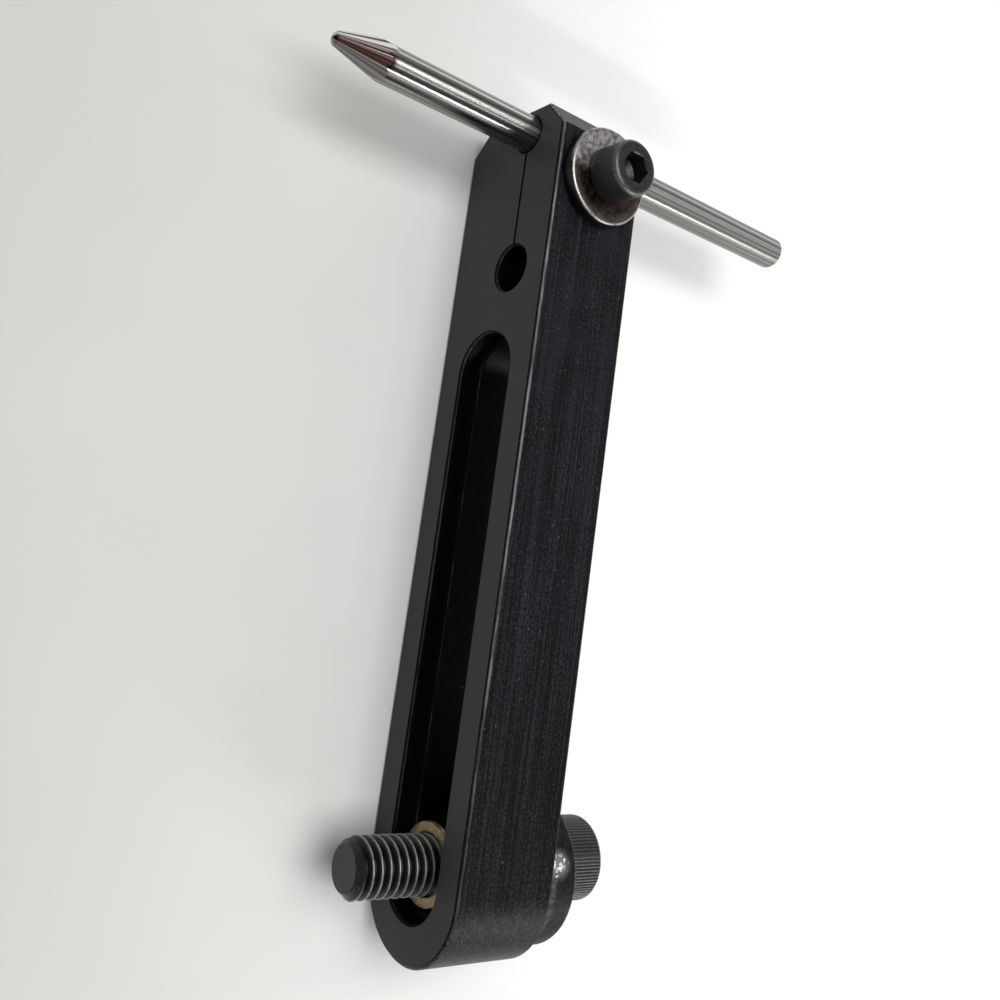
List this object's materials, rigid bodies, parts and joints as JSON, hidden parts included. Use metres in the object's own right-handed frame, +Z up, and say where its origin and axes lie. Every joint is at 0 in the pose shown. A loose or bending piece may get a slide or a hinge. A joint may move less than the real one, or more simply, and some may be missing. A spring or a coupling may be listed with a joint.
{
  "type": "slotted split-clamp tool arm",
  "caption": "Slotted black bar with a split clamp at one end holding a pointed ground steel rod, and a bolt with a thick washer that slides along the slot to fix the arm down.",
  "frame": {"origin": "middle of the underside the arm lies on: half way along the arm, half way through its thickness", "axes": "+X along the arm from its round end to its clamp end, +Y along the rod towards its point and along the slot bolt towards its free end, +Z up, the way the clamp screw's head faces"},
  "size_m": [0.1435, 0.1072, 0.0342],
  "materials": {
    "black_anodised": "matte black anodised over lengthwise machining",
    "ground_steel": "ground along its length",
    "worn_steel": "worn black oxide with a straw tint",
    "black_oxide": "black oxide",
    "black_oxide_rough": "thick black oxide, scuffed rim",
    "bronze": "dull, fine grained"
  },
  "bodies": {
    "arm": {"arm": "black_anodised"},
    "pointer_rod": {"pointer_rod": "ground_steel"},
    "clamp_washer": {"clamp_washer": "worn_steel"},
    "clamp_screw": {"clamp_screw": "black_oxide"},
    "spacer_washer": {"spacer_washer": "black_oxide_rough"},
    "slot_bolt": {"slot_bolt": "black_oxide", "retaining_washer": "bronze"}
  },
  "joints": [
    {"name": "rod_slide", "type": "slide", "parent": "arm", "child": "pointer_rod", "axis": [0, 1, 0], "range_m": [-0.028, 0.046]},
    {"name": "clamp_lift", "type": "slide", "parent": "arm", "child": "clamp_washer", "axis": [0, 0, 1], "range_m": [0, 0.0025]},
    {"name": "clamp_screw_turn", "type": "hinge", "parent": "clamp_washer", "child": "clamp_screw", "pos_m": [0.05985, 0, 0.0278], "axis": [0, 0, 1], "range_deg": [0, 720]},
    {"name": "slot_travel", "type": "slide", "parent": "arm", "child": "spacer_washer", "axis": [1, 0, 0], "range_m": [-0.002, 0.0814]},
    {"name": "slot_bolt_turn", "type": "hinge", "parent": "spacer_washer", "child": "slot_bolt", "pos_m": [-0.05655, 0, 0.0127], "axis": [0, 1, 0], "continuous": true}
  ],
  "couplings": [
    {"joint": "clamp_screw_turn", "follows": "clamp_lift", "rad_per_m": 4947.4}
  ]
}
